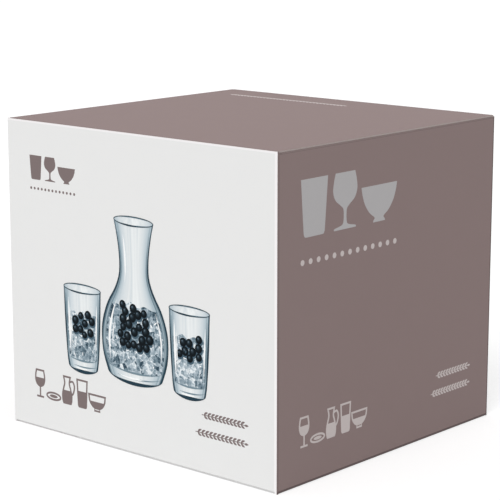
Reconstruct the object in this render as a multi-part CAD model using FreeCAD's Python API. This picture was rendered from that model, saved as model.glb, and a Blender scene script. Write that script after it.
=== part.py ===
import FreeCAD, Part
import math
import os
from FreeCAD import Vector

# Folding carton with a hinged tuck-in lid and a crash-lock base, all folded from one blank of board.
# X runs along its width, the front panel faces -Y, and Z is up from the middle of its base.

# Outside size of the closed carton, in millimetres
carton_width = 220.0
carton_depth = 210.0
carton_height = 195.0

# Board thickness, the radius inside each crease, and the straight board kept beside a crease
board = 0.8
crease_inner_radius = 0.2
crease_leg = 1.0

# Lid: how far it stands in from the side panels and the front panel, and the slack at its hinge
lid_side_inset = 0.5
lid_front_gap = 0.3
hinge_clearance = 0.3

# Tuck flap on the lid's front edge, with a slit at each end of its crease. Angles are in degrees.
tuck_height = 30.0
tuck_lean_margin = 1.2
tuck_side_gap = 1.0
tuck_side_taper = 5.0
tuck_corner_radius = 14.0
slit_length = 11.0
slit_width = 0.6

# Dust flaps on the side panels, under the lid
dust_length = 84.0
dust_shoulder = 20.0
dust_taper = 12.0
dust_corner_radius = 14.0
dust_edge_gap = 0.5

# Glue flap of the seam at the back left corner
glue_width = 18.0
glue_end_gap = 4.0
glue_taper = 15.0
seam_reveal = 0.3

# Crash-lock base: two main flaps hook over each other along the middle, and two side flaps are
# glued under them, each creased along a diagonal
base_edge_gap = 0.5
main_side_taper = 2.0
middle_gap = 0.6
hook_start = 8.0
hook_width = 72.0
hook_length = 24.0
hook_ramp = 9.0
hook_slit = 1.5
hook_corner_radius = 9.0
side_flap_length = 82.0
side_flap_slant = 35.0
side_flap_chamfer = 26.0
side_flap_corner_radius = 6.0
score_width = 1.2
score_depth = 0.2

half_width = carton_width / 2
half_depth = carton_depth / 2
half_board = board / 2
crease_radius = crease_inner_radius + board
crease_mid_radius = crease_inner_radius + half_board

# The flaps join the walls below the first of these heights and above the second
wall_foot = board + crease_radius + crease_leg
side_top = carton_height - board - crease_radius - crease_leg
lid_underside = carton_height - board

# The lid turns about the middle of the back panel's board, at the middle of its own
hinge_y = half_depth - half_board
hinge_z = carton_height - half_board
hinge_half_length = half_width - board - crease_radius
lid_front = -half_depth + crease_radius + lid_front_gap
lid_reach = hinge_y - lid_front

# The tuck flap leans in just enough for its tip to swing up behind the front panel
tuck_lean = math.asin(tuck_height / (2 * lid_reach)) + math.radians(tuck_lean_margin)
tuck_half_width = half_width - board - tuck_side_gap
tuck_sweep = lid_reach * math.sin(tuck_lean) ** 2 / 2

# Ends of the flaps along their creases. The walls' corners stand between them.
main_foot = half_width - crease_radius - base_edge_gap
side_foot = half_depth - crease_radius - base_edge_gap
dust_front = lid_front + board + tuck_sweep + dust_edge_gap
dust_rear = half_depth - crease_radius - dust_edge_gap

# Turns the XY plane of a section into the YZ plane, and its height into X
ACROSS = FreeCAD.Placement(Vector(), FreeCAD.Rotation(Vector(1, 1, 1), 120))


def crease_arc(before, corner, after, offset):
    """Start, middle and end of the arc that one face of the board follows round a crease."""
    way_in = (corner - before).normalize()
    way_out = (after - corner).normalize()
    turn = math.atan2(way_in.x * way_out.y - way_in.y * way_out.x, way_in.dot(way_out))
    hand = math.copysign(1, turn)
    left_in = Vector(-way_in.y, way_in.x, 0)
    left_out = Vector(-way_out.y, way_out.x, 0)
    tangent = crease_mid_radius * math.tan(abs(turn) / 2)
    centre = corner - way_in * tangent + left_in * (hand * crease_mid_radius)
    radius = crease_mid_radius - hand * offset
    spokes = (left_in, (left_in + left_out).normalize(), left_out)
    return [centre - spoke * (hand * radius) for spoke in spokes]


def board_face_edges(points, offset):
    """Lines and arcs of one face of the board, offset to the left of its mid-line."""
    ends = []
    for end, start, finish in ((points[0], points[0], points[1]), (points[-1], points[-2], points[-1])):
        way = (finish - start).normalize()
        ends.append(end + Vector(-way.y, way.x, 0) * offset)
    edges = []
    here = ends[0]
    for before, corner, after in zip(points, points[1:], points[2:]):
        start, middle, finish = crease_arc(before, corner, after, offset)
        edges.append(Part.LineSegment(here, start).toShape())
        edges.append(Part.Arc(start, middle, finish).toShape())
        here = finish
    edges.append(Part.LineSegment(here, ends[1]).toShape())
    return edges, ends


def folded_board(path, length):
    """Board along a mid-line path in the XY plane, rounded at each crease and drawn up along Z."""
    points = [Vector(x, y, 0) for x, y in path]
    left, left_ends = board_face_edges(points, half_board)
    right, right_ends = board_face_edges(points, -half_board)
    caps = [Part.LineSegment(a, b).toShape() for a, b in zip(left_ends, right_ends)]
    wire = Part.Wire(Part.__sortEdges__(left + right + caps))
    return Part.Face(wire).extrude(Vector(0, 0, length))


def board_across(path, length):
    """Board along a mid-line path of (Y, Z) points, drawn along X and centred on it."""
    strip = folded_board(path, length)
    strip.translate(Vector(0, 0, -length / 2))
    return strip.transformed(ACROSS.toMatrix())


def prism(corners, low, high):
    """Upright prism on an outline of (x, y, corner radius) points."""
    spots = []
    for i, (x, y, radius) in enumerate(corners):
        here = Vector(x, y, 0)
        if not radius:
            spots.append((here, None, here))
            continue
        back = (Vector(*corners[i - 1][:2], 0) - here).normalize()
        onward = (Vector(*corners[(i + 1) % len(corners)][:2], 0) - here).normalize()
        half_angle = back.getAngle(onward) / 2
        run = radius / math.tan(half_angle)
        middle = here + (back + onward).normalize() * (radius / math.sin(half_angle) - radius)
        spots.append((here + back * run, middle, here + onward * run))
    edges = []
    for i, (start, middle, finish) in enumerate(spots):
        if middle:
            edges.append(Part.Arc(start, middle, finish).toShape())
        edges.append(Part.LineSegment(finish, spots[(i + 1) % len(spots)][0]).toShape())
    outline = Part.Face(Part.Wire(edges))
    outline.translate(Vector(0, 0, low))
    return outline.extrude(Vector(0, 0, high - low))


def block(x_range, y_range, z_range):
    """Box between two heights and two limits each way."""
    size = [b - a for a, b in (x_range, y_range, z_range)]
    return Part.makeBox(*size, Vector(x_range[0], y_range[0], z_range[0]))


def flap(corners, leg):
    """Flap folded inwards at the foot of a panel, in the panel's own frame.

    X runs along the crease, Y goes into the carton from the panel's outer face, and Z goes up from
    the flap's underside to the leg that joins the panel.
    """
    reach = max(y for x, y, radius in corners) + board
    span = 2 * max(abs(x) for x, y, radius in corners)
    strip = board_across([(half_board, leg), (half_board, half_board), (reach, half_board)], span)
    return strip.common(prism(corners, 0, leg))


def set_on_side(shape, angle, distance, height=0.0):
    """Turns a flap from the panel's own frame to its side of the carton."""
    placed = shape.copy()
    placed.rotate(Vector(), Vector(0, 0, 1), angle)
    outward = math.radians(angle - 90)
    placed.translate(Vector(math.cos(outward) * distance, math.sin(outward) * distance, height))
    return placed


def walls():
    """Left, front, right and back panels with their corner creases, and the glue flap."""
    seam_x = -half_width + board + glue_width
    tube = folded_board(
        [
            (-half_width + half_board, half_depth - seam_reveal),
            (-half_width + half_board, -half_depth + half_board),
            (half_width - half_board, -half_depth + half_board),
            (half_width - half_board, half_depth - half_board),
            (seam_x, half_depth - half_board),
        ],
        carton_height,
    )
    lid_space = block(
        (-half_width, half_width),
        (-half_depth + crease_radius, half_depth),
        (lid_underside, carton_height),
    )
    return tube.cut(lid_space).fuse(glue_flap(seam_x)).cut(flap_rooms()).fuse(hinge_edge())


def flap_rooms():
    """Lengths of the walls' edges where the flaps' creases take the place of plain board."""
    rooms = []
    for side in (-1, 1):
        across = sorted((side * (half_width - board), side * half_width))
        along = sorted((side * (half_depth - board), side * half_depth))
        rooms.append(block((-main_foot, main_foot), along, (0, wall_foot)))
        rooms.append(block(across, (-side_foot, side_foot), (0, wall_foot)))
        rooms.append(block(across, (dust_front, dust_rear), (side_top, lid_underside)))
    return rooms


def glue_flap(seam_x):
    """End of the back panel, creased forwards and glued to the inside of the left panel."""
    inner_x = -half_width + board + half_board
    end_y = half_depth - glue_width
    strip = folded_board([(seam_x, hinge_y), (inner_x, hinge_y), (inner_x, end_y)], lid_underside)
    crease_y = half_depth - crease_radius
    stub_y = crease_y - min(base_edge_gap, dust_edge_gap) / 2
    root_y = crease_y - crease_leg
    drop = (root_y - end_y) * math.tan(math.radians(glue_taper))
    low = wall_foot + glue_end_gap
    high = side_top - glue_end_gap
    outline = [
        (half_depth, 0, 0),
        (half_depth, lid_underside, 0),
        (stub_y, lid_underside, 0),
        (stub_y, side_top, 0),
        (root_y, side_top, 0),
        (root_y, high, 0),
        (end_y, high - drop, 0),
        (end_y, low + drop, 0),
        (root_y, low, 0),
        (root_y, wall_foot, 0),
        (stub_y, wall_foot, 0),
        (stub_y, 0, 0),
    ]
    return strip.common(prism(outline, -half_width, 0).transformed(ACROSS.toMatrix()))


def hinge_edge():
    """Rounded top edge of the back panel, which the lid turns about."""
    span = 2 * hinge_half_length
    start = Vector(-hinge_half_length, hinge_y, hinge_z)
    bead = Part.makeCylinder(half_board, span, start, Vector(1, 0, 0))
    x_range = (-hinge_half_length, hinge_half_length)
    neck = block(x_range, (half_depth - board, half_depth), (lid_underside, hinge_z))
    return bead.fuse(neck)


def main_base_flap():
    """Main flap of the base, with the hook that rides over the flap opposite."""
    middle = half_depth - middle_gap / 2
    tip_half_width = main_foot - middle * math.tan(math.radians(main_side_taper))
    plain = flap(
        [(-main_foot, 0, 0), (main_foot, 0, 0), (tip_half_width, middle, 0), (-tip_half_width, middle, 0)],
        wall_foot - board,
    )
    hook_end = hook_start + hook_width
    ramp_foot = middle - hook_ramp
    slot_x = (hook_start - hook_slit, hook_end + hook_slit)
    plain = plain.cut(block(slot_x, (ramp_foot, middle), (0, board)))
    tip = middle + hook_length
    hook = board_across(
        [
            (ramp_foot - crease_leg, half_board),
            (ramp_foot, half_board),
            (middle, half_board + board),
            (tip, half_board + board),
        ],
        2 * hook_end,
    )
    shape = [
        (hook_start, ramp_foot - crease_leg, 0),
        (hook_end, ramp_foot - crease_leg, 0),
        (hook_end, middle, 0),
        (hook_end - hook_length, tip, hook_corner_radius),
        (hook_start, tip, hook_corner_radius),
    ]
    return plain.fuse(hook.common(prism(shape, 0, 3 * board)))


def side_base_flap():
    """Side flap of the base, glued under a main flap beyond its diagonal crease."""
    slant = side_flap_length * math.tan(math.radians(side_flap_slant))
    radius = side_flap_corner_radius
    shape = [
        (-side_foot, 0, 0),
        (side_foot, 0, 0),
        (side_foot, side_flap_length - side_flap_chamfer, radius),
        (side_foot - side_flap_chamfer, side_flap_length, radius),
        (slant - side_foot, side_flap_length, radius),
    ]
    score = block((0, side_flap_length * math.sqrt(2)), (-score_width / 2, score_width / 2), (0, score_depth))
    score.rotate(Vector(), Vector(0, 0, 1), 135)
    score.translate(Vector(half_depth - crease_radius, crease_radius, 0))
    return flap(shape, wall_foot).cut(score)


def dust_flap():
    """Dust flap of the right panel, hanging from its crease at a height of zero."""
    slope = math.tan(math.radians(dust_taper))
    shape = [
        (dust_front, 0, 0),
        (dust_rear, 0, 0),
        (dust_rear - dust_length * slope, dust_length, dust_corner_radius),
        (dust_front + (dust_length - dust_shoulder) * slope, dust_length, dust_corner_radius),
        (dust_front, dust_shoulder, 0),
    ]
    hanging = flap(shape, crease_radius + crease_leg).mirror(Vector(), Vector(0, 0, 1))
    return set_on_side(hanging, 90, half_width, lid_underside)


def carton_body():
    """Walls, base flaps and dust flaps: all of the folded blank but its lid."""
    right_dust_flap = dust_flap()
    pieces = [right_dust_flap, right_dust_flap.mirror(Vector(), Vector(1, 0, 0))]
    for angle in (0, 180):
        pieces.append(set_on_side(main_base_flap(), angle, half_depth, board))
        pieces.append(set_on_side(side_base_flap(), angle + 90, half_width))
    return walls().fuse(pieces).removeSplitter()


def lid():
    """Lid panel, its tuck flap and the slits between them."""
    turn = math.pi / 2 + tuck_lean
    fold_y = lid_front + crease_radius - crease_mid_radius * math.tan(turn / 2)
    tip_y = fold_y + tuck_height * math.sin(tuck_lean)
    tip_z = hinge_z - tuck_height * math.cos(tuck_lean)
    strip = board_across([(hinge_y, hinge_z), (fold_y, hinge_z), (tip_y, tip_z)], carton_width)
    lid_half_width = half_width - lid_side_inset
    taper = tuck_height * math.tan(math.radians(tuck_side_taper))
    front_view = prism(
        [
            (-lid_half_width, carton_height, 0),
            (-lid_half_width, lid_underside, 0),
            (-tuck_half_width, lid_underside, 0),
            (taper - tuck_half_width, tip_z, tuck_corner_radius),
            (tuck_half_width - taper, tip_z, tuck_corner_radius),
            (tuck_half_width, lid_underside, 0),
            (lid_half_width, lid_underside, 0),
            (lid_half_width, carton_height, 0),
        ],
        -half_depth,
        half_depth,
    )
    front_view.rotate(Vector(), Vector(1, 0, 0), 90)
    panel = strip.common(front_view)
    slit_y = (lid_front - board, lid_front + crease_radius + board)
    for side in (-1, 1):
        slit_x = sorted((side * (tuck_half_width - slit_length), side * half_width))
        panel = panel.cut(block(slit_x, slit_y, (lid_underside - slit_width, lid_underside)))
    start = Vector(-half_width, hinge_y, hinge_z)
    clearance = Part.makeCylinder(half_board + hinge_clearance, carton_width, start, Vector(1, 0, 0))
    return panel.cut(clearance).removeSplitter()


os.makedirs("parts", exist_ok=True)
for node, shape in (("carton_body", carton_body()), ("lid", lid())):
    shape.exportStep("parts/" + node + ".step")
    print(node, "solids", len(shape.Solids), "valid", shape.isValid(), "volume", round(shape.Volume))
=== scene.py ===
import math
import random

import bmesh
import bpy
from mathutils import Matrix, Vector


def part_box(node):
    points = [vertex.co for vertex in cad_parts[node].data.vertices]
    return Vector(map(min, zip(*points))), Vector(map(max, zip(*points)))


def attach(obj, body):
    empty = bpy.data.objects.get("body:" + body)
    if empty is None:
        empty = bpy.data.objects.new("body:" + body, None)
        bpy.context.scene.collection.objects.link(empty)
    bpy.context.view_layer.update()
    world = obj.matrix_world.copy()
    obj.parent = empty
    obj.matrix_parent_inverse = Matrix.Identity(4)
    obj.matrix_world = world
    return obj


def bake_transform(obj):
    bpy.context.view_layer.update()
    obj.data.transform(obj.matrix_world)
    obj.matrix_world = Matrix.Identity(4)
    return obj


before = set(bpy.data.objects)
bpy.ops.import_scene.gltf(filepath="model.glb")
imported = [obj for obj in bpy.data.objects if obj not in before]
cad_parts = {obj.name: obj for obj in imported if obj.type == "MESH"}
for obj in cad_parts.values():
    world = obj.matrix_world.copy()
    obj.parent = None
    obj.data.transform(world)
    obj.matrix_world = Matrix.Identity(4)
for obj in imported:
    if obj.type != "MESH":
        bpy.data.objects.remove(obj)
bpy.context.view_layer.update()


# Folded blank. One sheet of 0.8 mm folding board with a grey core, coated and printed on its outer
# face, white at the front and back, taupe elsewhere. Painted light pales the white along its folds
# and on the cut edges at its foot, and painted shade darkens the taupe along its folds and edges.
# The inner face and most cut edges are bare board, flecked with fibre.
MM = 0.001
BOARD = 0.8 * MM
HALF_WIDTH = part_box("carton_body")[1].x
HALF_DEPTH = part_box("carton_body")[1].y
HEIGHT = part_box("carton_body")[1].z
WHITE_COATING = (0.82, 0.82, 0.815)
# Painted light: a paler white along the folds of the front and back and on the cut edges at the
# foot
WHITE_FOLD_LIGHT = (0.915, 0.89, 0.895)
TAUPE_INK = (0.275, 0.209, 0.203)
# Painted shade: a darker taupe along the front fold, by the lid's gaps and over the lid's crease
TAUPE_FOLD_SHADE = (0.22, 0.169, 0.164)
# Painted shade: the darkest taupe, along the foot and rear edge of the sides
TAUPE_EDGE_SHADE = (0.155, 0.118, 0.115)
BARE_BOARD = (0.40, 0.342, 0.328)
FIBRE_FLECK = (0.28, 0.24, 0.22)
WHITE_CONTRAST = 0.006
TAUPE_CONTRAST = 0.02
MATT_ROUGHNESS = 0.62
MATT_SPECULAR = 0.04
TOOTH_DEPTH = 0.03 * MM

# Grains of the surface, as noise scales per metre
TOOTH = 2600
WARP = 45
FLECKS = 1500
BOARD_CLOUD = 160
FINE_INK_CLOUD = 700
SLOW_INK_CLOUD = 60

# Relief of the surface, and how often, how strongly and on how pale a board the fibres show
TOOTH_STRENGTH = 0.5
WARP_SHARE = 6.0
FLECK_LEVEL = 0.64
FLECK_SHARE = 0.55
PALER_BOARD = 1.12

# Widths of the painted light and painted shade along the folds and edges, and of the folds
# themselves
FRONT_LIGHT_WIDTH = 1.9 * MM
TOP_LIGHT_WIDTH = 1.14 * MM
FRONT_SHADE_WIDTH = 1.7 * MM
SIDE_EDGE = 1.7 * MM
FOLD = 1.1 * MM

# Depth from the outside within which the board is a printed face
SIDE_FACE = 0.3 * MM
END_FACE = 0.294 * MM

# Setbacks of the base's side flaps and of the lid's front from the front panel's face
FLAP_SETBACK = 2.2 * MM
LID_SETBACK = 1.3 * MM

# Heights that bound the base and the dust flaps
BASE_TOP = 5 * MM
FLAP_CUT_TOP = BOARD * 1.05
DUST_FLAP_FROM = HEIGHT - 3 * MM
DUST_FLAP_TO = HEIGHT - 0.48 * MM

# Least share of a face's normal along an axis, where the face is turned that way or squarely so
TURNED = 0.3
SQUARE_ON = 0.7


def calc(tree, operation, *values):
    """Maths node on sockets and plain numbers."""
    node = tree.nodes.new("ShaderNodeMath")
    node.operation = operation
    for socket, value in zip(node.inputs, values):
        if isinstance(value, (int, float)):
            socket.default_value = value
        else:
            tree.links.new(value, socket)
    return node.outputs[0]


def size_of(tree, value):
    """Value without its sign."""
    return calc(tree, "ABSOLUTE", value)


def above(tree, value, limit):
    """1 where a value is above a limit."""
    return calc(tree, "GREATER_THAN", value, limit)


def below(tree, value, limit):
    """1 where a value is below a limit."""
    return calc(tree, "LESS_THAN", value, limit)


def all_of(tree, *shares):
    """1 where every share is 1."""
    whole = shares[0]
    for share in shares[1:]:
        whole = calc(tree, "MULTIPLY", whole, share)
    return whole


def any_of(tree, *shares):
    """1 where some share is 1."""
    whole = shares[0]
    for share in shares[1:]:
        whole = calc(tree, "MAXIMUM", whole, share)
    return whole


def not_in(tree, share):
    """1 where the share is 0."""
    return calc(tree, "SUBTRACT", 1.0, share)


def mix(tree, share, first, second):
    """Colour between two colours, each a socket or three numbers."""
    node = tree.nodes.new("ShaderNodeMix")
    node.data_type = "RGBA"
    factor, low, high = node.inputs[0], node.inputs[6], node.inputs[7]
    for socket, value in ((factor, share), (low, first), (high, second)):
        if isinstance(value, tuple):
            socket.default_value = (*value, 1.0)
        else:
            tree.links.new(value, socket)
    return node.outputs[2]


def grain(tree, place, scale, detail):
    """Noise from 0 to 1 at a scale per metre."""
    node = tree.nodes.new("ShaderNodeTexNoise")
    node.inputs["Scale"].default_value = scale
    node.inputs["Detail"].default_value = detail
    tree.links.new(place, node.inputs["Vector"])
    return node.outputs["Fac"]


def start_material(name, roughness=MATT_ROUGHNESS, specular=MATT_SPECULAR):
    """New matt material, with its shader and the place of the surface in the frame."""
    material = bpy.data.materials.new(name)
    material.use_nodes = True
    tree = material.node_tree
    shader = tree.nodes["Principled BSDF"]
    shader.inputs["Roughness"].default_value = roughness
    shader.inputs["Specular IOR Level"].default_value = specular
    coords = tree.nodes.new("ShaderNodeTexCoord")
    return material, tree, shader, coords


def split(tree, vector):
    """X, Y and Z of a vector."""
    node = tree.nodes.new("ShaderNodeSeparateXYZ")
    tree.links.new(vector, node.inputs[0])
    return node.outputs


def add_tooth(tree, shader, place):
    """Fine tooth of coated paper, over a slow unevenness of the board."""
    fine = grain(tree, place, TOOTH, 3)
    slow = grain(tree, place, WARP, 1)
    bump = tree.nodes.new("ShaderNodeBump")
    bump.inputs["Strength"].default_value = TOOTH_STRENGTH
    bump.inputs["Distance"].default_value = TOOTH_DEPTH
    tree.links.new(calc(tree, "MULTIPLY_ADD", slow, WARP_SHARE, fine), bump.inputs["Height"])
    tree.links.new(bump.outputs[0], shader.inputs["Normal"])


def bare_board(tree, place):
    """Unprinted board with short dark fibres."""
    flecks = above(tree, grain(tree, place, FLECKS, 4), FLECK_LEVEL)
    paler = tuple(c * PALER_BOARD for c in BARE_BOARD)
    cloud = mix(tree, grain(tree, place, BOARD_CLOUD, 3), BARE_BOARD, paler)
    return mix(tree, calc(tree, "MULTIPLY", flecks, FLECK_SHARE), cloud, FIBRE_FLECK)


def inked(tree, place, colour, contrast=TAUPE_CONTRAST):
    """Flat tint of ink with the faint cloud of an offset print."""
    fine = grain(tree, place, FINE_INK_CLOUD, 3)
    slow = grain(tree, place, SLOW_INK_CLOUD, 2)
    low = tuple(c * (1 - contrast) for c in colour)
    high = tuple(c * (1 + contrast) for c in colour)
    return mix(tree, calc(tree, "MULTIPLY", calc(tree, "ADD", fine, slow), 0.5), low, high)


def board_of_body():
    """Board of the walls and flaps, printed where its outer face shows, with painted light and
    shade.
    """
    material, tree, shader, coords = start_material("printed_board")
    place = coords.outputs["Object"]
    x, y, z = split(tree, place)
    nx, ny, nz = split(tree, coords.outputs["Normal"])
    far_x, far_y = size_of(tree, x), size_of(tree, y)
    across, along = size_of(tree, nx), size_of(tree, ny)
    low_fold = below(tree, z, FOLD)
    high_fold = above(tree, z, HEIGHT - BOARD - FOLD)
    by_side = above(tree, far_x, HALF_WIDTH - FOLD)
    by_end = above(tree, far_y, HALF_DEPTH - FOLD)

    side = all_of(tree, above(tree, far_x, HALF_WIDTH - SIDE_FACE), above(tree, across, TURNED))
    end = all_of(tree, above(tree, far_y, HALF_DEPTH - END_FACE), above(tree, along, TURNED))
    under = all_of(tree, below(tree, z, BASE_TOP), below(tree, nz, -TURNED))
    dust_flap = all_of(
        tree,
        above(tree, z, DUST_FLAP_FROM),
        below(tree, z, DUST_FLAP_TO),
        above(tree, nz, TURNED),
    )
    # Cut edges of the base flaps near the front and back are painted pale white, painted light that
    # lifts the shade at the foot
    flap_cut = all_of(tree, below(tree, z, FLAP_CUT_TOP), above(tree, along, SQUARE_ON))
    inward = below(tree, calc(tree, "MULTIPLY", x, nx), -SQUARE_ON * HALF_WIDTH)
    corner_cut = all_of(tree, below(tree, z, SIDE_EDGE), inward)
    near_end = above(tree, far_y, HALF_DEPTH - FLAP_SETBACK)
    foot_cut = all_of(tree, any_of(tree, flap_cut, corner_cut), near_end)
    printed = any_of(tree, side, end, under, dust_flap, foot_cut)

    main_flap = all_of(tree, under, above(tree, z, BOARD / 2), not_in(tree, by_side))
    front_or_back = all_of(tree, end, not_in(tree, above(tree, across, along)))
    white = any_of(tree, front_or_back, main_flap, foot_cut)
    # Painted light: paler white along the right and top folds of the front and back, along their
    # foot, and on the foot's cut edges
    fold_light = any_of(
        tree,
        above(tree, x, HALF_WIDTH - FRONT_LIGHT_WIDTH),
        above(tree, z, HEIGHT - TOP_LIGHT_WIDTH),
        all_of(tree, low_fold, by_end),
        foot_cut,
    )
    # Painted shade: darker taupe by the front fold and, at the top of the sides, in the gap under
    # the lid
    front_fold_shade = below(tree, y, FRONT_SHADE_WIDTH - HALF_DEPTH)
    fold_shade = any_of(tree, front_fold_shade, all_of(tree, by_side, high_fold))
    # Painted shade: darkest taupe along the sides' foot and rear edge
    foot_or_rear = any_of(tree, below(tree, z, SIDE_EDGE), above(tree, y, HALF_DEPTH - SIDE_EDGE))
    side_edge_shade = all_of(tree, by_side, foot_or_rear)

    taupe_panel = mix(tree, fold_shade, inked(tree, place, TAUPE_INK), TAUPE_FOLD_SHADE)
    taupe = mix(tree, side_edge_shade, taupe_panel, TAUPE_EDGE_SHADE)
    coated = mix(tree, fold_light, inked(tree, place, WHITE_COATING, WHITE_CONTRAST), WHITE_FOLD_LIGHT)
    colour = mix(tree, printed, bare_board(tree, place), mix(tree, white, taupe, coated))
    tree.links.new(colour, shader.inputs["Base Color"])
    add_tooth(tree, shader, place)
    return material


def board_of_lid():
    """Board of the lid and its tuck flap, printed taupe outside, with painted shade along its front
    fold.
    """
    material, tree, shader, coords = start_material("printed_board_lid")
    place = coords.outputs["Object"]
    _, y, z = split(tree, place)
    _, ny, nz = split(tree, coords.outputs["Normal"])
    top = all_of(tree, above(tree, nz, TURNED), above(tree, z, HEIGHT - BOARD))
    printed = any_of(tree, top, below(tree, ny, -TURNED))
    # Painted shade: darker taupe along the lid's front fold, by its gap over the front panel
    front_fold = below(tree, y, LID_SETBACK + FOLD - HALF_DEPTH)
    fold_shade = all_of(tree, above(tree, z, HEIGHT - BOARD - FOLD), front_fold)
    taupe = mix(tree, fold_shade, inked(tree, place, TAUPE_INK), TAUPE_FOLD_SHADE)
    tree.links.new(mix(tree, printed, bare_board(tree, place), taupe), shader.inputs["Base Color"])
    add_tooth(tree, shader, place)
    return material


for node, board in (("carton_body", board_of_body()), ("lid", board_of_lid())):
    for material_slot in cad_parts[node].material_slots:
        material_slot.material = board


# Lid crease. The board is scored and bends where the lid leaves the back panel. Its coated face
# stretches round the outside of the fold and its bare face round the inside, as two thin skins
# that cover the joint at every angle of the lid.
SKIN = 0.03 * MM
WALL_CORNER = 1.8 * MM
CREASE_HALF_LENGTH = HALF_WIDTH - WALL_CORNER
CREASE_Y = HALF_DEPTH - BOARD / 2
CREASE_Z = HEIGHT - BOARD / 2
CREASE_TAIL = 1.4 * MM
CREASE_STEPS = 10


def plain_board(name, colour_of):
    """Board of one finish all over, from a function that gives its colour."""
    material, tree, shader, coords = start_material(name)
    place = coords.outputs["Object"]
    tree.links.new(colour_of(tree, place), shader.inputs["Base Color"])
    add_tooth(tree, shader, place)
    return material


def white_coated(tree, place):
    """White coating of the back panel."""
    return inked(tree, place, WHITE_COATING, WHITE_CONTRAST)


def shaded_taupe(tree, place):
    """Darker taupe, painted shade on the lid's side of the crease."""
    return inked(tree, place, TAUPE_FOLD_SHADE)


def crease_skin(name, from_angle, to_angle, colours):
    """Closed thin skin round the crease, with a flat tail on the panel and another on the lid."""
    step = (to_angle - from_angle) / CREASE_STEPS
    angles = [from_angle + step * i for i in range(CREASE_STEPS + 1)]
    spokes = [Vector((0, math.cos(a), math.sin(a))) for a in angles]
    middle = Vector((0, CREASE_Y, CREASE_Z))
    tails = (Vector((0, 0, -CREASE_TAIL)), Vector((0, -CREASE_TAIL, 0)))
    strip = bmesh.new()
    rows = []
    for radius in (BOARD / 2, BOARD / 2 + SKIN):
        line = [middle + spoke * radius for spoke in spokes]
        line = [line[0] + tails[0], *line, line[-1] + tails[1]]
        for side in (-1, 1):
            end = Vector((side * CREASE_HALF_LENGTH, 0, 0))
            rows.append([strip.verts.new(point + end) for point in line])
    ring = [rows[0], rows[1], rows[3], rows[2]]
    last = len(rows[0]) - 1
    for i in range(last):
        paint = 0 if i < last / 2 else len(colours) - 1
        for a, b in zip(ring, ring[1:] + ring[:1]):
            strip.faces.new((a[i], b[i], b[i + 1], a[i + 1])).material_index = paint
    for i in (0, last):
        strip.faces.new([row[i] for row in ring])
    bmesh.ops.recalc_face_normals(strip, faces=strip.faces)
    mesh = bpy.data.meshes.new(name)
    strip.to_mesh(mesh)
    strip.free()
    skin = bpy.data.objects.new(name, mesh)
    bpy.context.scene.collection.objects.link(skin)
    for colour in colours:
        mesh.materials.append(colour)
    return skin


outer_skin = crease_skin(
    "lid_crease_coated_face",
    0,
    math.pi / 2,
    # Painted shade: the lid's half of the coated skin is a darker taupe
    [plain_board("crease_white", white_coated), plain_board("crease_shaded_taupe", shaded_taupe)],
)
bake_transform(outer_skin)
inner_skin = crease_skin(
    "lid_crease_bare_face",
    math.pi,
    1.5 * math.pi,
    [plain_board("crease_bare", bare_board)],
)
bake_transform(inner_skin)


# Front emblem. Three solid shapes of tableware in warm grey ink, a tumbler, a stem glass and a
# bowl, over a line of dots. Each colour of ink is one thin closed film on the board's face.
INK_FILM = 0.03 * MM
INK_LAYER = 0.02 * MM
WARM_GREY = (0.216, 0.171, 0.168)
RIGHTWARD = Vector((1, 0, 0))
REARWARD = Vector((0, 1, 0))
UPWARD = Vector((0, 0, 1))
FACES = {
    "front": (Vector((-HALF_WIDTH, -HALF_DEPTH, 0)), RIGHTWARD, UPWARD, -REARWARD),
    "right": (Vector((HALF_WIDTH, -HALF_DEPTH, 0)), REARWARD, UPWARD, RIGHTWARD),
    "top": (Vector((-HALF_WIDTH, -HALF_DEPTH, HEIGHT)), RIGHTWARD, REARWARD, UPWARD),
}


def ink(name, colour):
    """One colour of matt ink."""
    return plain_board(name, lambda tree, place: inked(tree, place, colour))


def lay_ink(name, face, shapes, material, body="carton_body"):
    """Film of one ink. A shape is (layer, rows), where one row is a filled outline and more make a
    strip or a grid. A point is its place along and up the face in millimetres, and two shades."""
    corner, along, up, out = FACES[face]
    film = bmesh.new()
    across_layer = film.verts.layers.float.new("across")
    rise_layer = film.verts.layers.float.new("rise")
    for layer, rows in shapes:
        points = {}
        grid = []
        for row in rows:
            line = []
            for u, v, *shade in row:
                key = (round(u, 4), round(v, 4))
                if key not in points:
                    points[key] = film.verts.new(corner + (along * u + up * v) * MM)
                    points[key][across_layer], points[key][rise_layer] = shade or (0.0, 0.0)
                line.append(points[key])
            grid.append(line)
        cells = [film.faces.new(dict.fromkeys(grid[0]))] if len(grid) == 1 else []
        for low, high in zip(grid, grid[1:]):
            for i in range(len(low) - 1):
                corners = dict.fromkeys((low[i], low[i + 1], high[i + 1], high[i]))
                cells.append(film.faces.new(corners))
        for cell in cells:
            cell.normal_update()
            if cell.normal.dot(out) < 0:
                cell.normal_flip()
        raised = bmesh.ops.extrude_face_region(film, geom=cells, use_keep_orig=True)["geom"]
        lifted = [item for item in raised if isinstance(item, bmesh.types.BMVert)]
        bmesh.ops.translate(film, verts=lifted, vec=out * (INK_FILM + layer * INK_LAYER))
    bmesh.ops.triangulate(film, faces=[cell for cell in film.faces if len(cell.verts) > 4])
    mesh = bpy.data.meshes.new(name)
    film.to_mesh(mesh)
    film.free()
    mesh.materials.append(material)
    piece = bpy.data.objects.new(name, mesh)
    bpy.context.scene.collection.objects.link(piece)
    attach(piece, body)


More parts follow.
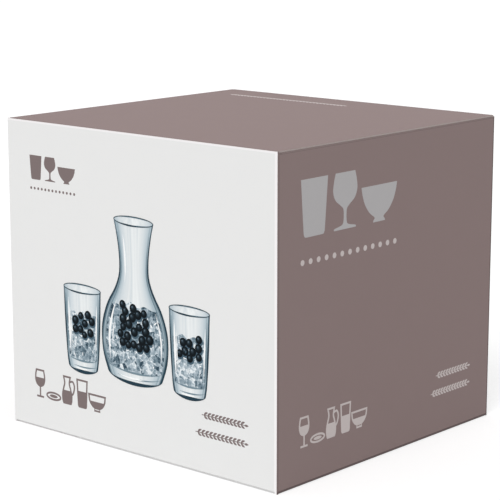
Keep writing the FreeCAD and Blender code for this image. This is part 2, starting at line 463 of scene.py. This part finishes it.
def through(knots, steps=6):
    """Smooth line through a few points."""
    padded = [knots[0], *knots, knots[-1]]
    line = []
    for a, b, c, d in zip(padded, padded[1:], padded[2:], padded[3:]):
        for i in range(steps):
            t = i / steps
            point = []
            for p, q, r, s in zip(a, b, c, d):
                cubic = 2 * p - 5 * q + 4 * r - s + t * (3 * (q - r) + s - p)
                point.append(q + 0.5 * t * (r - p + t * cubic))
            line.append(tuple(point))
    line.append(tuple(knots[-1]))
    return line


def mirrored(right_side):
    """Closed outline from its right half, listed upwards."""
    return [*right_side, *[(-u, v) for u, v in reversed(right_side)]]


def moved(loop, across, up, size):
    """Outline scaled about its origin and moved."""
    return [(u * size + across, v * size + up) for u, v in loop]


def oval(across, up, half_width, half_height=None, steps=32):
    """Ellipse, or a circle where it has one half-width."""
    half_height = half_width if half_height is None else half_height
    angles = [2 * math.pi * i / steps for i in range(steps)]
    return [(across + half_width * math.cos(a), up + half_height * math.sin(a)) for a in angles]


def tumbler_shape():
    """Right half of a tumbler of height 1, with a thick rounded foot."""
    return through([(0.0, 0.0), (0.22, 0.0), (0.27, 0.04), (0.29, 0.16), (0.36, 1.0)], 4)[4:]


def stem_glass_shape():
    """Right half of a stem glass of height 1."""
    return through(
        [(0.30, 0.0), (0.29, 0.035), (0.10, 0.075), (0.045, 0.14), (0.045, 0.34), (0.12, 0.42),
         (0.27, 0.53), (0.335, 0.68), (0.315, 0.85), (0.27, 1.0)]
    )


def bowl_shape():
    """Right half of a footed bowl of height 1."""
    foot = [(0.26, 0.0), (0.25, 0.05), (0.2, 0.13)]
    return through([*foot, (0.42, 0.28), (0.62, 0.52), (0.73, 0.78), (0.78, 1.0)])


def emblem(left, foot, height):
    """Tumbler, stem glass and bowl side by side."""
    tumbler = moved(mirrored(tumbler_shape()), left + 0.36 * height, foot, height)
    stem_glass = moved(mirrored(stem_glass_shape()), left + 1.2 * height, foot, height)
    bowl = moved(mirrored(bowl_shape()), left + 2.17 * height, foot, 0.66 * height)
    return [(0, [tumbler]), (0, [stem_glass]), (0, [bowl])]


def dots(left, right, up, radius, count):
    """Row of dots between two limits."""
    step = (right - left - 2 * radius) / (count - 1)
    return [(0, [oval(left + radius + step * i, up, radius, steps=16)]) for i in range(count)]


warm_grey = ink("warm_grey_ink", WARM_GREY)
front_emblem = emblem(left=20, foot=159, height=15)
front_emblem += dots(left=20, right=60, up=153.5, radius=0.85, count=13)
lay_ink("front_emblem", "front", front_emblem, warm_grey)


# Front line drawing and sprigs. A row of five thin outlines of tableware at the panel's foot, with
# their contents filled in, and two short leafy sprigs at its right, all in the same warm grey ink.
LINE_WIDTH = 1.2
TWIG_WIDTH = 0.5
LEAST_TAPER = 0.06
SHARPEST_TURN = 0.5
LEAF_VEIN = ((0.0, 0.0), (0.38, 0.36), (0.9, 0.56))
GLASS_PLACE, DISH_PLACE, JUG_PLACE, TUMBLER_PLACE, BOWL_PLACE = 5, 17.2, 29.5, 43, 56


def offset(loop, distance):
    """Closed outline moved outwards by a distance, with its corners kept sharp."""
    area = sum(a[0] * b[1] - b[0] * a[1] for a, b in zip(loop[-1:] + loop[:-1], loop))
    outward = distance * math.copysign(1, area)
    result = []
    for i, here in enumerate(loop):
        arriving = (Vector(here) - Vector(loop[i - 1])).normalized()
        leaving = (Vector(loop[(i + 1) % len(loop)]) - Vector(here)).normalized()
        way = (arriving + leaving).normalized()
        reach = outward / max(way.dot(leaving), SHARPEST_TURN)
        result.append((here[0] + way.y * reach, here[1] - way.x * reach))
    return result


def outlined(loop, width=LINE_WIDTH):
    """Strip that follows a closed outline."""
    return [[*edge, edge[0]] for edge in (offset(loop, width / 2), offset(loop, -width / 2))]


def stroke(line, width, taper=False):
    """Strip of ink along an open path, with pointed ends where it tapers."""
    left = []
    right = []
    last = len(line) - 1
    for i, here in enumerate(line):
        before = Vector(line[max(i - 1, 0)])
        after = Vector(line[min(i + 1, last)])
        way = (after - before).normalized()
        half = width / 2
        if taper:
            half *= max(math.sin(math.pi * i / last), LEAST_TAPER)
        left.append((here[0] - way.y * half, here[1] + way.x * half))
        right.append((here[0] + way.y * half, here[1] - way.x * half))
    return [left, right]


def line_drawing(left, foot, height):
    """Stem glass, dish, jug, tumbler and bowl in thin outline."""
    slim = 0.72 * height
    glass_bowl = through([(0.04, 0.39), (0.22, 0.46), (0.32, 0.6), (0.33, 0.78), (0.27, 1.0)])
    jug_foot = [(0.26, 0.0), (0.32, 0.12), (0.33, 0.34)]
    jug = through([*jug_foot, (0.25, 0.56), (0.17, 0.76), (0.24, 1.0)])
    handle = through([(0.19, 0.82), (0.42, 0.86), (0.54, 0.68), (0.46, 0.44), (0.31, 0.32)])
    bowl = through([(0.16, 0.1), (0.34, 0.17), (0.52, 0.34), (0.58, 0.58)])

    def placed(line, place):
        """Line at its place in the row."""
        return [(left + place + u * slim, foot + v * height) for u, v in line]

    def poured(half, level):
        """Contents of a vessel up to a level, from its right half."""
        return mirrored([(u, v) for u, v in half if v <= level])

    closed = [
        placed(mirrored(glass_bowl), GLASS_PLACE),
        placed(mirrored(jug), JUG_PLACE),
        placed(mirrored(tumbler_shape()), TUMBLER_PLACE),
        placed(mirrored(bowl), BOWL_PLACE),
        oval(left + DISH_PLACE, foot + 2.2, 6.2, 2.2),
    ]
    filled = [
        placed(poured(glass_bowl, 0.72), GLASS_PLACE),
        placed(poured(jug, 0.5), JUG_PLACE),
        placed(poured(tumbler_shape(), 0.66), TUMBLER_PLACE),
        placed(poured(bowl, 0.36), BOWL_PLACE),
        oval(left + DISH_PLACE, foot + 2.2, 3.6, 1.0),
    ]
    open_lines = [
        placed([(0, 0.39), (0, 0.2), (0, 0.0)], GLASS_PLACE),
        placed([(-0.26, 0.0), (0, 0.0), (0.26, 0.0)], GLASS_PLACE),
        placed(handle, JUG_PLACE),
        placed([(-0.15, 0.1), (-0.2, 0.0), (0.2, 0.0), (0.15, 0.1)], BOWL_PLACE),
    ]
    shapes = [outlined(loop) for loop in closed]
    shapes += [stroke(line, LINE_WIDTH) for line in open_lines]
    shapes += [[loop] for loop in filled]
    return [(0.1 * i, shape) for i, shape in enumerate(shapes)]


def sprig(right, up, length, leaf=3.4):
    """Straight twig with pairs of pointed leaves, and one leaf more at its right end."""
    start = right - length
    tip = [(right - leaf * (1 - i / 6), up) for i in range(7)]
    shapes = [(0, stroke([(start, up), (right - leaf, up)], TWIG_WIDTH))]
    shapes.append((0.1, stroke(tip, 0.42 * leaf, taper=True)))
    count = int((length - 1.5 * leaf) / (0.9 * leaf))
    for i in range(count + 1):
        root = start + 0.5 * leaf + (length - 2.2 * leaf) * i / count
        for side in (-1, 1):
            bend = [(root + u * leaf, up + side * v * leaf) for u, v in LEAF_VEIN]
            shapes.append((0.2 + 0.1 * side, stroke(through(bend, 4), 0.4 * leaf, taper=True)))
    return shapes


front_lines = line_drawing(left=20, foot=21, height=17)
front_lines += sprig(right=199, up=36, length=36) + sprig(right=199, up=25, length=41)
lay_ink("front_line_drawing", "front", front_lines, warm_grey)


# Front picture, vessels. A still life in cool grey inks, of a carafe between two tumblers. Each
# vessel's near wall is one film, whose tint deepens from the middle towards the glass's edges.
VESSEL_TILT = (0.25, 0.17)
WALL_LAYER = 0
MOUTH_LAYER = 1

# Tint of the glass: the waver of its dark edges, its sheen in the middle, and its heavy foot
EDGE_WAVER = 0.16
SHEEN_RANGE = 1.3
SHEEN_LEVEL = 0.32
FOOT_TINT = 0.1
FOOT_FADE = -0.5


def tone(red, green, blue):
    """Ink colour from its printed values out of 255."""
    return tuple(((c / 255 + 0.055) / 1.055) ** 2.4 for c in (red, green, blue))


def vessel(middle, foot, height, halves):
    """Round vessel, from its half-widths at shares of its height."""
    return {"middle": middle, "foot": foot, "height": height, "outline": through(halves)}


def girth(pot, rise):
    """Half-width of a vessel at a share of its height."""
    outline = pot["outline"]
    for (low, narrow), (high, wide) in zip(outline, outline[1:]):
        if rise <= high:
            return narrow + (wide - narrow) * (rise - low) / (high - low)
    return outline[-1][1]


def tilt(rise):
    """Height of a level circle's oval to its width, seen from a little above."""
    return VESSEL_TILT[0] + (VESSEL_TILT[1] - VESSEL_TILT[0]) * rise


def on_wall(pot, across, rise, side=-1):
    """Point on the near wall, or on the far one with side 1. Across is -1 to 1, and rise 0 to 1."""
    half = girth(pot, rise)
    sag = half * tilt(rise) * math.sqrt(max(1 - across * across, 0))
    return pot["middle"] + half * across, pot["foot"] + pot["height"] * rise + side * sag


def level_oval(pot, rise, share=1.0, steps=48):
    """Level circle in a vessel, as a share of its width."""
    half = girth(pot, rise) * share
    return oval(pot["middle"], pot["foot"] + pot["height"] * rise, half, half * tilt(rise), steps)


def wall_sheet(pot, edge, bottom, top, columns=24, rows=40, lift=None):
    """Grid on the near wall out to a share of its width, with its top raised by lift(across)."""
    sheet = []
    for j in range(rows + 1):
        row = []
        for i in range(columns + 1):
            across = edge * math.sin(math.pi * (i / columns - 0.5))
            raised = top + (lift(across) if lift else 0)
            rise = bottom + (raised - bottom) * j / rows
            u, v = on_wall(pot, across, rise)
            row.append((u, v, across, rise))
        sheet.append(row)
    return sheet


def attribute(tree, name):
    """Value that the film's points carry."""
    node = tree.nodes.new("ShaderNodeAttribute")
    node.attribute_name = name
    return node.outputs["Fac"]


def ramp(tree, value, stops):
    """Colour along a row of (place, colour) stops."""
    node = tree.nodes.new("ShaderNodeValToRGB")
    elements = node.color_ramp.elements
    while len(elements) < len(stops):
        elements.new(0.5)
    for element, (place, colour) in zip(elements, stops):
        element.position = place
        element.color = (*colour, 1.0)
    tree.links.new(value, node.inputs[0])
    return node.outputs["Color"]


def streaks(tree, across, rise, fine, long):
    """Soft streaks that run up the vessel's wall."""
    joined = tree.nodes.new("ShaderNodeCombineXYZ")
    tree.links.new(calc(tree, "MULTIPLY", across, fine), joined.inputs[0])
    tree.links.new(calc(tree, "MULTIPLY", rise, long), joined.inputs[1])
    return grain(tree, joined.outputs[0], 1.0, 2.0)


def glass_ink():
    """Pale cool tint that deepens to dark blue-green at the edges of the glass."""
    material, tree, shader, coords = start_material("glass_tint_ink")
    across = attribute(tree, "across")
    rise = attribute(tree, "rise")
    wavy = calc(tree, "SUBTRACT", streaks(tree, across, rise, 9.0, 1.6), 0.5)
    sheen = calc(tree, "SUBTRACT", streaks(tree, across, rise, 5.0, 0.7), 0.5)
    heavy = calc(tree, "MAXIMUM", calc(tree, "MULTIPLY_ADD", rise, FOOT_FADE, FOOT_TINT), 0.0)
    edge = calc(tree, "MULTIPLY_ADD", wavy, EDGE_WAVER, size_of(tree, across))
    body = calc(tree, "MULTIPLY_ADD", sheen, SHEEN_RANGE, SHEEN_LEVEL)
    depth = calc(tree, "MAXIMUM", calc(tree, "ADD", edge, heavy), body)
    colour = ramp(
        tree,
        depth,
        [
            (0.1, tone(243, 246, 246)),
            (0.35, tone(230, 234, 235)),
            (0.6, tone(213, 221, 225)),
            (0.76, tone(190, 203, 210)),
            (0.86, tone(150, 170, 180)),
            (0.90, tone(192, 205, 212)),
            (0.955, tone(106, 129, 141)),
            (1.0, tone(44, 68, 80)),
        ],
    )
    tree.links.new(colour, shader.inputs["Base Color"])
    add_tooth(tree, shader, coords.outputs["Object"])
    return material


def mouth_sheet(pot, share=0.97, columns=24, rows=6):
    """Inside of the far wall, seen over the near rim."""
    middle = pot["foot"] + pot["height"]
    sheet = []
    for j in range(rows + 1):
        row = []
        for i in range(columns + 1):
            across = math.sin(math.pi * (i / columns - 0.5))
            u, near = on_wall(pot, across * share, 1.0)
            v = middle + (near - middle) * share * (1 - 2 * j / rows)
            row.append((u, v, across * 0.82, j / rows))
        sheet.append(row)
    return sheet


CARAFE_BODY = [(0, 22.8), (0.07, 25.4), (0.16, 27.4), (0.3, 27.3), (0.44, 22.8)]
CARAFE_NECK = [(0.56, 15.5), (0.66, 12), (0.78, 12.1), (0.9, 14), (1, 16.4)]
CARAFE = vessel(middle=109, foot=50, height=93, halves=CARAFE_BODY + CARAFE_NECK)
TUMBLER_HALVES = [(0, 12.7), (0.06, 13.3), (0.2, 13.9), (1, 16.2)]
TUMBLERS = [vessel(middle, foot=47, height=49, halves=TUMBLER_HALVES) for middle in (64.5, 153.5)]
VESSELS = [CARAFE, *TUMBLERS]
vessel_glass = [(WALL_LAYER, wall_sheet(pot, edge=1.0, bottom=0.0, top=1.0)) for pot in VESSELS]
vessel_glass += [(MOUTH_LAYER, mouth_sheet(pot)) for pot in VESSELS]
lay_ink("vessel_glass", "front", vessel_glass, glass_ink())


# Front picture, ice. Crushed ice fills the vessels, printed as chips of cool pale grey with a
# gradient of their own, and darker towards the walls of the glass.
ICE_CHIP = 5.2
ICE_CRUMB = 2.1
CHIP_BORDER = 0.045
CHIP_RIM = 0.3
CHIP_SLOPE = 1.7
CHIP_BEND = (0.55, 0.55, 0.55)
BEND_SCALE = 1.1
CHIP_SHARE = 0.55
CRUMB_SHARE = 0.45
WALL_SHADE_FROM = 0.55
WALL_SHADE = -0.55
ICE_LAYER = 2
draw = random.Random(41)


def vector_calc(tree, operation, *values):
    """Outputs of a vector maths node on sockets and plain triples."""
    node = tree.nodes.new("ShaderNodeVectorMath")
    node.operation = operation
    for socket, value in zip(node.inputs, values):
        if isinstance(value, tuple):
            socket.default_value = value
        else:
            tree.links.new(value, socket)
    return node.outputs


def chips(tree, place, size):
    """Tone of crushed ice, each chip shaded from one of its sides to the other."""
    per_chip = 1 / (size * MM)
    scaled = vector_calc(tree, "MULTIPLY", place, (per_chip, per_chip, per_chip))[0]
    bend = tree.nodes.new("ShaderNodeTexNoise")
    bend.inputs["Scale"].default_value = BEND_SCALE
    tree.links.new(scaled, bend.inputs["Vector"])
    warped = vector_calc(tree, "MULTIPLY_ADD", bend.outputs["Color"], CHIP_BEND, scaled)[0]
    cells = tree.nodes.new("ShaderNodeTexVoronoi")
    borders = tree.nodes.new("ShaderNodeTexVoronoi")
    borders.feature = "DISTANCE_TO_EDGE"
    for pattern in (cells, borders):
        pattern.inputs["Scale"].default_value = 1.0
        tree.links.new(warped, pattern.inputs["Vector"])
    local = vector_calc(tree, "SUBTRACT", warped, cells.outputs["Position"])[0]
    facing = vector_calc(tree, "SUBTRACT", cells.outputs["Color"], (0.5, 0.5, 0.5))[0]
    slope = vector_calc(tree, "DOT_PRODUCT", local, facing)["Value"]
    own = split(tree, cells.outputs["Color"])[0]
    shaded = calc(tree, "MULTIPLY_ADD", slope, CHIP_SLOPE, own)
    rim = below(tree, borders.outputs["Distance"], CHIP_BORDER)
    return calc(tree, "MULTIPLY_ADD", rim, CHIP_RIM, shaded)


def ice_ink():
    """Chips of two sizes, in cool greys from white to slate."""
    material, tree, shader, coords = start_material("crushed_ice_ink")
    place = coords.outputs["Object"]
    large = chips(tree, place, ICE_CHIP)
    small = chips(tree, place, ICE_CRUMB)
    crumbs = calc(tree, "MULTIPLY", small, CRUMB_SHARE)
    both = calc(tree, "MULTIPLY_ADD", large, CHIP_SHARE, crumbs)
    across = size_of(tree, attribute(tree, "across"))
    near_side = calc(tree, "MAXIMUM", calc(tree, "SUBTRACT", across, WALL_SHADE_FROM), 0.0)
    lit = calc(tree, "MULTIPLY_ADD", near_side, WALL_SHADE, both)
    colour = ramp(
        tree,
        lit,
        [
            (0.0, tone(54, 74, 87)),
            (0.2, tone(100, 120, 132)),
            (0.42, tone(134, 152, 163)),
            (0.62, tone(163, 178, 188)),
            (0.8, tone(194, 206, 213)),
            (0.95, tone(230, 236, 239)),
        ],
    )
    tree.links.new(colour, shader.inputs["Base Color"])
    add_tooth(tree, shader, place)
    return material


def heaped(pot, edge, bottom, top, peak):
    """Sheet of ice whose upper edge is heaped unevenly."""
    waves = []
    for _ in range(5):
        waves.append((draw.uniform(3, 11), draw.uniform(0, 6.28), draw.uniform(0.2, 0.5)))

    def lift(across):
        """Height of the heap above its edge, as a share of the vessel's height."""
        ripple = sum(size * math.sin(rate * across + phase) for rate, phase, size in waves)
        return peak * (1 - across * across) * (0.8 + 0.35 * ripple)

    return wall_sheet(pot, edge, bottom, top, columns=44, rows=24, lift=lift)


ice_sheets = [heaped(CARAFE, edge=0.87, bottom=0.07, top=0.46, peak=0.05)]
ice_sheets += [heaped(pot, edge=0.86, bottom=0.13, top=0.66, peak=0.12) for pot in TUMBLERS]
lay_ink("crushed_ice", "front", [(ICE_LAYER, sheet) for sheet in ice_sheets], ice_ink())


# Front picture, berries. Near-black round berries lie in the ice, each with a soft bloom where the
# light falls on it.
BERRY_STEPS = 18
BERRY_LAYER = 3
LEAST_BERRY_GAP = 0.84
MOST_TRIES = 4000
BERRY_RISE = 0.1
BERRY_RISES = 30
BERRY_GRAIN = 1400
BLOOM_SPREAD = 0.35
BLOOM_LEFT, BLOOM_UP = 0.28, 0.34


def berry_ink():
    """Near-black skin with a dull blue bloom."""
    material, tree, shader, coords = start_material("berry_ink")
    place = coords.outputs["Object"]
    spread = calc(tree, "SUBTRACT", grain(tree, place, BERRY_GRAIN, 2), 0.5)
    radius = calc(tree, "MULTIPLY_ADD", spread, BLOOM_SPREAD, attribute(tree, "across"))
    colour = ramp(
        tree,
        radius,
        [
            (0.0, tone(128, 145, 156)),
            (0.14, tone(70, 86, 97)),
            (0.3, tone(40, 52, 60)),
            (0.55, tone(21, 29, 34)),
            (0.85, tone(12, 17, 21)),
            (1.0, tone(26, 35, 41)),
        ],
    )
    tree.links.new(colour, shader.inputs["Base Color"])
    add_tooth(tree, shader, place)
    return material


def berry(layer, across, up, radius):
    """Round berry, as rings from its lightest spot to its rim."""
    rings = []
    for share in (0.0, 0.25, 0.5, 0.75, 1.0):
        left = across - BLOOM_LEFT * radius * (1 - share)
        middle = up + BLOOM_UP * radius * (1 - share)
        ring = oval(left, middle, radius * share, steps=BERRY_STEPS)
        rings.append([(u, v, share, 0.0) for u, v in [*ring, ring[0]]])
    return layer, rings


def scattered(pot, count, edge, bottom, top, small, large):
    """Places and sizes of berries in part of a vessel, heaped so that they only just overlap."""
    found = []
    for _ in range(MOST_TRIES):
        if len(found) == count:
            break
        radius = draw.uniform(small, large)
        u, v = on_wall(pot, draw.uniform(-edge, edge), draw.uniform(bottom, top))
        gaps = [math.dist((u, v), other[:2]) / (radius + other[2]) for other in found]
        if all(gap > LEAST_BERRY_GAP for gap in gaps):
            found.append((u, v, radius))
    return found


berries = scattered(CARAFE, 30, edge=0.5, bottom=0.25, top=0.49, small=2.5, large=3.3)
for pot in TUMBLERS:
    berries += scattered(pot, 9, edge=0.56, bottom=0.48, top=0.74, small=2.3, large=2.9)
heap = []
for i, place in enumerate(berries):
    heap.append(berry(BERRY_LAYER + BERRY_RISE * (i % BERRY_RISES), *place))
lay_ink("berries", "front", heap, berry_ink())


# Front picture, edges and lights. Fine dark lines follow the rims, sides and thick feet of the
# glass, and white slivers are the light on the glass and on the ice. Each ink is one more film.

# Layers of the films, counted from the board outwards, and the step between shapes that cross
CHIP_SHADOW_LAYER = 2.05
CHIP_LIGHT_LAYER = 2.2
INNER_LINE_LAYER = 6.1
EDGE_LAYER = 6.5
LIGHT_LAYER = 7
HAIR = 0.02

# Shadow of a berry on the ice, in millimetres and as a share of the berry's size
SHADOW_RIGHT, SHADOW_DOWN, SHADOW_SIZE = 0.4, 0.9, 1.1


def side_line(pot, across, bottom, top, steps=30):
    """Line up the wall at one place across it."""
    return [on_wall(pot, across, bottom + (top - bottom) * i / steps) for i in range(steps + 1)]


def level_line(pot, rise, left, right, side=-1, share=1.0, steps=30):
    """Part of a level circle, between two places across the vessel."""
    middle = pot["foot"] + pot["height"] * rise
    line = []
    for i in range(steps + 1):
        u, v = on_wall(pot, left + (right - left) * i / steps, rise, side)
        line.append((pot["middle"] + (u - pot["middle"]) * share, middle + (v - middle) * share))
    return line


def edge_lines(pot):
    """Dark lines of a vessel."""
    return [
        outlined(level_oval(pot, 1.0, 0.985), 0.45),
        stroke(level_line(pot, 1.0, -0.98, 0.5), 1.0, taper=True),
        stroke(level_line(pot, 0.0, -0.98, 0.98), 2.2, taper=True),
        stroke(side_line(pot, -0.985, 0.0, 0.99), 1.0, taper=True),
        stroke(side_line(pot, 0.985, 0.0, 0.99), 1.3, taper=True),
    ]


def inner_lines(pot, floor):
    """Mid-tone lines of a vessel's inner wall, its lip and the bottom of its bowl."""
    return [
        stroke(level_line(pot, floor, -0.86, 0.86), 1.1, taper=True),
        stroke(level_line(pot, floor * 0.45, -0.6, 0.9), 0.8, taper=True),
        stroke(side_line(pot, -0.89, floor, 0.93), 0.7, taper=True),
        stroke(side_line(pot, 0.88, floor, 0.93), 0.9, taper=True),
        stroke(level_line(pot, 1.0, -0.8, 0.8, side=1, share=0.86), 0.6, taper=True),
        stroke(level_line(pot, 1.0, -0.3, 0.96, share=0.95), 0.9, taper=True),
    ]


def wall_lights(pot, low, high):
    """White lights on a vessel."""
    return [
        stroke(side_line(pot, -0.76, low, high), 1.7, taper=True),
        stroke(side_line(pot, -0.66, low + 0.1, high - 0.12), 0.7, taper=True),
        stroke(side_line(pot, 0.8, low + 0.04, high - 0.04), 1.1, taper=True),
        stroke(level_line(pot, 0.035, -0.55, 0.35), 0.9, taper=True),
    ]


def slivers(pot, count, edge, bottom, top):
    """Short thin chips of one ink, at random in the ice."""
    shapes = []
    for _ in range(count):
        u, v = on_wall(pot, draw.uniform(-edge, edge), draw.uniform(bottom, top))
        length = draw.uniform(1.4, 3.6)
        angle = draw.uniform(0, math.pi)
        reach = (length * math.cos(angle) / 2, length * math.sin(angle) / 2)
        ends = [(u - reach[0], v - reach[1]), (u, v), (u + reach[0], v + reach[1])]
        shapes.append(stroke(through(ends, 3), draw.uniform(0.45, 0.9), taper=True))
    return shapes


def stacked(layer, shapes):
    """Shapes a hair's breadth above each other, so that those that cross don't share a face."""
    return [(layer + HAIR * i, rows) for i, rows in enumerate(shapes)]


edges = [line for pot in VESSELS for line in edge_lines(pot)]
dark_chips = []
for u, v, radius in berries:
    shadow = oval(u + SHADOW_RIGHT, v - SHADOW_DOWN, radius * SHADOW_SIZE, steps=16)
    dark_chips.append([shadow])
dark_chips += slivers(CARAFE, 16, edge=0.75, bottom=0.1, top=0.42)
inner = inner_lines(CARAFE, floor=0.075)
lights = wall_lights(CARAFE, low=0.12, high=0.5)
lights.append(stroke(side_line(CARAFE, -0.6, 0.62, 0.93), 1.2, taper=True))
bright_chips = slivers(CARAFE, 22, edge=0.78, bottom=0.1, top=0.45)
for pot in TUMBLERS:
    dark_chips += slivers(pot, 6, edge=0.7, bottom=0.18, top=0.6)
    inner += inner_lines(pot, floor=0.14)
    bright_chips += slivers(pot, 7, edge=0.7, bottom=0.18, top=0.64)
    lights += wall_lights(pot, low=0.2, high=0.9)
edge_ink = ink("glass_edge_ink", tone(40, 62, 74))
shadow_ink = ink("ice_shadow_ink", tone(74, 96, 110))
shade_ink = ink("glass_shade_ink", tone(120, 141, 152))
light_ink = ink("glass_light_ink", tone(250, 251, 251))
lay_ink("vessel_edges", "front", stacked(EDGE_LAYER, edges), edge_ink)
lay_ink("ice_shadows", "front", stacked(CHIP_SHADOW_LAYER, dark_chips), shadow_ink)
lay_ink("vessel_inner_lines", "front", stacked(INNER_LINE_LAYER, inner), shade_ink)
lay_ink("ice_lights", "front", stacked(CHIP_LIGHT_LAYER, bright_chips), light_ink)
lay_ink("vessel_lights", "front", stacked(LIGHT_LAYER, lights), light_ink)


# Side print. The right panel repeats the emblem, larger, with the dots, the line drawing and the
# sprigs, in a pale grey ink on the taupe.
PALE_GREY = (0.475, 0.462, 0.468)
SOFT_GREY = (0.6, 0.54, 0.53)
side_emblem = emblem(left=20, foot=144, height=33)
lay_ink("side_emblem", "right", side_emblem, ink("pale_grey_ink", PALE_GREY))
side_lines = dots(left=20, right=109, up=130, radius=1.7, count=13)
side_lines += line_drawing(left=19, foot=23, height=17)
side_lines += sprig(right=189, up=38, length=37) + sprig(right=189, up=27, length=42)
soft_grey = ink("soft_grey_ink", SOFT_GREY)
lay_ink("side_line_drawing", "right", side_lines, soft_grey)


# Lid print. One long fine sprig in the pale ink, near the lid's rear edge. It was printed with the
# rest of the blank, and turns with the lid.
lid_sprig = sprig(right=122, up=185, length=102, leaf=3.2)
lay_ink("lid_sprig", "top", lid_sprig, soft_grey, body="lid")


# Studio. The carton stands on a plain white floor in a white room, under soft light from the
# front left, and the camera looks at its front right corner from a little above.

# Camera, solved from the photographed corners, in metres and in pixels of the picture
AZIMUTH = math.radians(41.2265)
ELEVATION = math.radians(11.4265)
CAMERA_DISTANCE = 1.16697
CAMERA_RIGHT = -0.00144
CAMERA_UP = 0.0124
FOCAL_PIXELS = 1843.74
FRAME_PIXELS = 500
SENSOR = 36.0

# Light of the room, the sun and the floor
AMBIENT = 0.62
SUN = 0.55
SUN_ANGLE = math.radians(40)
SUN_FROM = Vector((0.25, -0.6, 0.74))
FLOOR_SIZE = 30
FLOOR_ALBEDO = 0.65
FLOOR_GLOW = 0.42


def set_camera():
    """Camera at the photograph's place, looking along its own axis with no shift."""
    data = bpy.data.cameras.new("camera")
    data.sensor_width = SENSOR
    data.lens = FOCAL_PIXELS * SENSOR / FRAME_PIXELS
    camera = bpy.data.objects.new("camera", data)
    bpy.context.scene.collection.objects.link(camera)
    level = Vector((math.sin(AZIMUTH), -math.cos(AZIMUTH), 0))
    back = level * math.cos(ELEVATION) + Vector((0, 0, math.sin(ELEVATION)))
    across = Vector((math.cos(AZIMUTH), math.sin(AZIMUTH), 0))
    upward = back.cross(across)
    middle = Vector((0, 0, HEIGHT / 2))
    camera.location = middle + back * CAMERA_DISTANCE + across * CAMERA_RIGHT + upward * CAMERA_UP
    camera.rotation_euler = (-back).to_track_quat("-Z", "Y").to_euler()
    bpy.context.scene.camera = camera


def set_sun():
    """Broad even light from the front left and above."""
    data = bpy.data.lights.new("sun", "SUN")
    data.energy = SUN * math.pi
    data.angle = SUN_ANGLE
    sun = bpy.data.objects.new("sun", data)
    sun.rotation_euler = (-SUN_FROM).to_track_quat("-Z", "Y").to_euler()
    bpy.context.scene.collection.objects.link(sun)


def seen_or_reflected(tree):
    """1 where the camera, or a mirror or clear surface, sees this directly."""
    path = tree.nodes.new("ShaderNodeLightPath")
    ways = ("Is Camera Ray", "Is Glossy Ray", "Is Transmission Ray")
    return any_of(tree, *[path.outputs[way] for way in ways])


def set_room():
    """Even white room."""
    world = bpy.data.worlds.new("room")
    bpy.context.scene.world = world
    world.use_nodes = True
    tree = world.node_tree
    background = tree.nodes["Background"]
    background.inputs["Color"].default_value = (1, 1, 1, 1)
    strength = calc(tree, "MULTIPLY_ADD", seen_or_reflected(tree), 1 - AMBIENT, AMBIENT)
    tree.links.new(strength, background.inputs["Strength"])


def lay_floor():
    """Plain white floor, which keeps the carton's soft shadow."""
    bpy.ops.mesh.primitive_plane_add(size=FLOOR_SIZE)
    floor = bpy.context.object
    floor.name = "floor"
    material, tree, shader, _ = start_material("floor", roughness=0.9, specular=0.0)
    shader.inputs["Base Color"].default_value = (FLOOR_ALBEDO, FLOOR_ALBEDO, FLOOR_ALBEDO, 1)
    shader.inputs["Emission Color"].default_value = (1, 1, 1, 1)
    glow = calc(tree, "MULTIPLY", seen_or_reflected(tree), FLOOR_GLOW)
    tree.links.new(glow, shader.inputs["Emission Strength"])
    floor.data.materials.append(material)


set_camera()
set_sun()
set_room()
lay_floor()
bpy.context.scene.view_settings.view_transform = "Standard"
